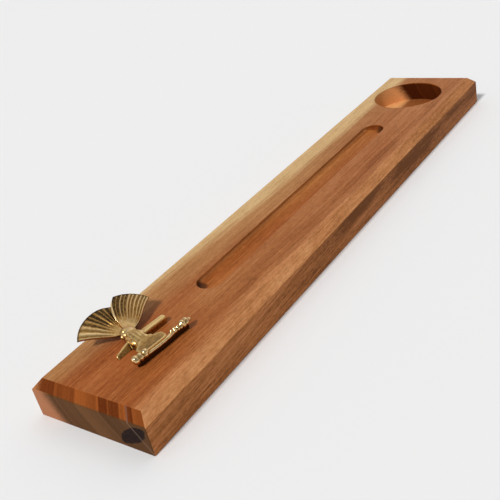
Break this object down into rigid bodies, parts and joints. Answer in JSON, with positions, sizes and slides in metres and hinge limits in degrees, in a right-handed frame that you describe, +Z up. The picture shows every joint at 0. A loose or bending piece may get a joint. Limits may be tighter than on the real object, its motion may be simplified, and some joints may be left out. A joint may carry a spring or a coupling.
{
  "type": "incense stick holder",
  "caption": "Chamfered hardwood board with a long ash groove, a round cup recess and a brass leaf sprig that holds an incense stick leaning over the groove.",
  "frame": {"origin": "middle of the board's underside", "axes": "+Z up, Y along the board with the brass sprig at -Y and the round recess at +Y, X across the board"},
  "size_m": [0.058, 0.317, 0.0272],
  "materials": {
    "board_wood": "oiled hardwood, satin, with a pale sapwood edge",
    "sprig_brass": "polished cast brass",
    "leaf_brass": "polished cast brass, darker between the ribs",
    "bud_brass": "polished cast brass",
    "screw_steel": "zinc-plated steel",
    "washer_steel": "zinc-plated steel"
  },
  "bodies": {
    "root": {"board": "board_wood", "stem": "sprig_brass", "leaf": "leaf_brass", "bud_bar": "bud_brass", "fixing_screws": "screw_steel", "screw_washers": "washer_steel"}
  },
  "joints": []
}
